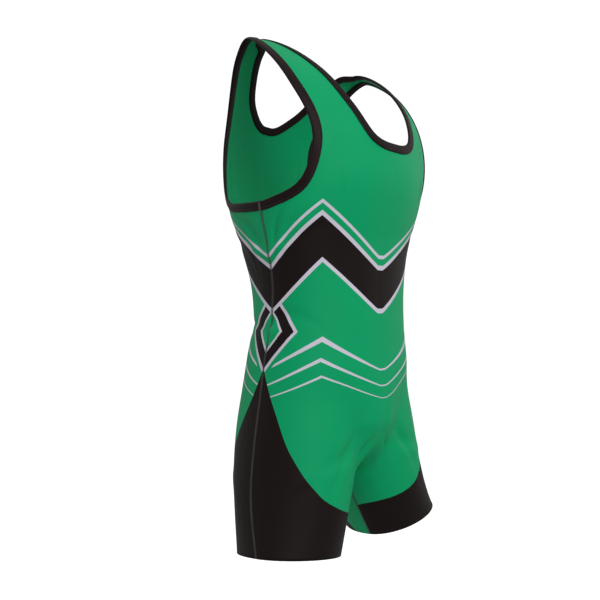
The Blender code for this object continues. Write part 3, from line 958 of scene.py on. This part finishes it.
def shoulder_line(turned):
    """Across the top of a strap, between the two bindings."""
    start = reach_rows(edge_curve(ARMHOLE[FRONT], 0.0), FRONT, 1, (1.05,))[-1, 0]
    end = reach_rows(edge_curve(NECK[FRONT], 1.0), FRONT, -1, (1.05,))[-1, 0]
    shares = np.linspace(start[0], end[0], 41)
    places = np.stack([shares, 0 * shares], -1)
    out = unit(normals(places, FRONT) + normals(places, BACK))
    return skin(places, FRONT) * (turned, 1, 1), out * (turned, 1, 1)


def tack_line(turned, settings):
    """Down the armhole binding at the side seam."""
    parts = np.linspace(0.04, 1.06, 21)
    rows = [edge_rows("armhole", side, parts)[0] for side in (FRONT, BACK)]
    out = unit(normals(rows[0], FRONT) + normals(rows[1], BACK))
    middle = (skin(rows[0], FRONT) + skin(rows[1], BACK)) / 2
    height = BINDING_GAP + BINDING_WALL + settings.swell
    return (middle + out * height) * (turned, 1, 1), out * (turned, 1, 1)


class SINGLET_OT_seams(bpy.types.Operator):
    """Flat seams of thread at the sides, the inside of the legs and the shoulders"""
    bl_idname = "singlet.seams"
    bl_label = "Seams"

    def execute(self, context):
        settings = context.scene.singlet_thread
        depth = context.scene.singlet_cloth.crease_depth
        binding = context.scene.singlet_binding
        thread = thread_material("seam_thread", tuple(settings.colour))
        pale = thread_material("tack_thread", tuple(settings.tack_colour))
        seams = [("inseam", *inseam_line(depth), settings.width * 0.9, settings.pitch, thread)]
        for side, turned in (("left", 1), ("right", -1)):
            seams += [
                ("side_seam_" + side, *side_seam_line(turned, depth), settings.width,
                 settings.pitch, thread),
                ("shoulder_seam_" + side, *shoulder_line(turned), settings.width * 0.8,
                 settings.pitch, thread),
                ("armhole_tack_" + side, *tack_line(turned, binding), settings.width * 0.85,
                 settings.pitch * 0.62, pale),
            ]
        for name, points, out, width, pitch, finish in seams:
            seam = new_object(name, *flat_seam(points, out, width, pitch), finish)
            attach(seam, "root")
        return {"FINISHED"}


class SINGLET_OT_hems(bpy.types.Operator):
    """Rolled edges of the two legs, in the cloth's own print"""
    bl_idname = "singlet.hems"
    bl_label = "Hems"

    def execute(self, context):
        settings = context.scene.singlet_cloth
        finish = cloth_material("hem_cloth", settings, printed=False)
        angle = np.linspace(0, 2 * math.pi, 10, endpoint=False)
        for side, turned in (("left", 1), ("right", -1)):
            shares = np.linspace(0, 1, 97)
            line, out, fields = [], [], []
            for panel, order in ((FRONT, slice(None, -1)), (BACK, slice(None, 0, -1))):
                places = np.stack([shares, 0 * shares + HEM_Z], -1)[order]
                line.append(cloth_points(places, panel, settings.crease_depth))
                out.append(normals(places, panel))
                fields.append(print_fields(places, panel))
            line, out = np.concatenate(line), np.concatenate(out)
            along = unit(np.roll(line, -1, 0) - np.roll(line, 1, 0))
            down = unit(np.cross(out, along))
            centre = line - out * CLOTH / 2
            ring = (out[:, None] * np.cos(angle)[:, None] + down[:, None] * np.sin(angle)[:, None])
            points = (centre[:, None] + ring * CLOTH * HEM_ROUND).reshape(-1, 3) * (turned, 1, 1)
            cells = quads(len(line), len(angle), turned < 0, closed=(True, True))
            values = {key: np.repeat(np.concatenate([field[key] for field in fields]),
                                     len(angle), axis=0) for key in ("block", "cloth")}
            hem = new_object("hem_edge_" + side, points, cells, finish, values)
            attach(hem, "root")
        return {"FINISHED"}


# ---------------------------------------------------------------- stage

BOWL = {"floor": 5.0, "sweep": 1.5, "wall": 7.5, "first": 0.001}
LIGHT_AIM = (0.0, -0.03, -0.42)
LIGHTS = {
    "key": {"place": (-1.0, -2.1, 0.7), "size": 1.2, "power": "key_power"},
    "fill_left": {"place": (1.9, -0.7, 0.3), "size": 1.8, "power": "fill_power"},
    "fill_back": {"place": (-0.6, 2.0, 0.8), "size": 1.8, "power": "fill_power"},
    "top": {"place": (0.0, 0.0, 2.4), "size": 2.5, "power": "fill_power"},
}
CAMERA_PLACE = (-0.809, -0.779, -0.429)
CAMERA_TURN = (math.pi / 2, 0.0, -math.pi / 4)
LENS_MM = 37.54


def area_light(name, place, aim, size, power):
    light = bpy.data.lights.new(name, "AREA")
    light.size = size
    light.energy = power
    made = bpy.data.objects.new(name, light)
    made.location = place
    ray = np.array(aim) - np.array(place)
    flat = math.hypot(ray[0], ray[1])
    made.rotation_euler = (math.atan2(flat, -ray[2]), 0.0, math.atan2(-ray[0], ray[1]))
    bpy.context.scene.collection.objects.link(made)


class SINGLET_OT_stage(bpy.types.Operator):
    """Pale floor that sweeps up all round, soft lights and the camera"""
    bl_idname = "singlet.stage"
    bl_label = "Stage"

    def execute(self, context):
        settings = context.scene.singlet_stage
        turn = np.linspace(0, 2 * math.pi, 96, endpoint=False)
        rise = np.linspace(0, 1, 40)
        climb = np.clip(rise * 2 - 1, 0, 1) * math.pi / 2
        radius = BOWL["floor"] * np.minimum(rise * 2, 1) ** 0.8 + BOWL["sweep"] * np.sin(climb)
        radius[0] = BOWL["first"]
        height = BOWL["wall"] * (1 - np.cos(climb))
        bowl = np.stack([radius[:, None] * np.cos(turn), radius[:, None] * np.sin(turn),
                         height[:, None] - settings.floor_drop + 0 * turn], -1)
        cells = quads(len(rise), len(turn), False, closed=(False, True))
        finish = stage_material("floor_white", (0.93, 0.93, 0.93), settings.glow)
        floor = new_object("floor", bowl.reshape(-1, 3), cells, finish)
        floor.visible_diffuse = False
        floor.visible_glossy = False

        for name, light in LIGHTS.items():
            area_light(name, light["place"], LIGHT_AIM, light["size"],
                       getattr(settings, light["power"]))
        world = bpy.data.worlds.new("studio")
        world.use_nodes = True
        world.node_tree.nodes["Background"].inputs["Color"].default_value = (1, 1, 1, 1)
        ray = world.node_tree.nodes.new("ShaderNodeLightPath")
        seen = world.node_tree.nodes.new("ShaderNodeMath")
        seen.operation = "MAXIMUM"
        seen.inputs[1].default_value = settings.sky
        world.node_tree.links.new(ray.outputs["Is Camera Ray"], seen.inputs[0])
        world.node_tree.links.new(
            seen.outputs[0], world.node_tree.nodes["Background"].inputs["Strength"])
        context.scene.world = world
        context.scene.view_settings.view_transform = "Standard"

        camera = bpy.data.objects.new("camera", bpy.data.cameras.new("camera"))
        camera.data.lens = LENS_MM
        camera.data.sensor_width = 36.0
        camera.location = CAMERA_PLACE
        camera.rotation_euler = CAMERA_TURN
        context.scene.collection.objects.link(camera)
        context.scene.camera = camera
        return {"FINISHED"}


class SINGLET_PT_parts(bpy.types.Panel):
    """Lists the singlet's pieces and their sizes"""
    bl_label = "Singlet"
    bl_idname = "SINGLET_PT_parts"
    bl_space_type = "VIEW_3D"
    bl_region_type = "UI"
    bl_category = "Singlet"

    def draw(self, context):
        for group in ("cloth", "binding", "thread", "stage"):
            settings = getattr(context.scene, "singlet_" + group)
            box = self.layout.box()
            box.label(text=group.capitalize())
            for name in settings.__annotations__:
                box.prop(settings, name)
        for operator in ("panels", "bindings", "seams", "hems", "stage"):
            self.layout.operator("singlet." + operator)


GROUPS = (("singlet_cloth", SingletCloth), ("singlet_binding", SingletBinding),
          ("singlet_thread", SingletThread), ("singlet_stage", SingletStage))
CLASSES = (SINGLET_OT_panels, SINGLET_OT_bindings, SINGLET_OT_seams, SINGLET_OT_hems,
           SINGLET_OT_stage, SINGLET_PT_parts)


def register():
    for name, group in GROUPS:
        bpy.utils.register_class(group)
        setattr(bpy.types.Scene, name, bpy.props.PointerProperty(type=group))
    for kind in CLASSES:
        bpy.utils.register_class(kind)


def unregister():
    for kind in reversed(CLASSES):
        bpy.utils.unregister_class(kind)
    for name, group in reversed(GROUPS):
        delattr(bpy.types.Scene, name)
        bpy.utils.unregister_class(group)


def main():
    register()
    bpy.ops.singlet.panels()
    bpy.ops.singlet.bindings()
    bpy.ops.singlet.seams()
    bpy.ops.singlet.hems()
    bpy.ops.singlet.stage()


if __name__ == "__main__":
    main()
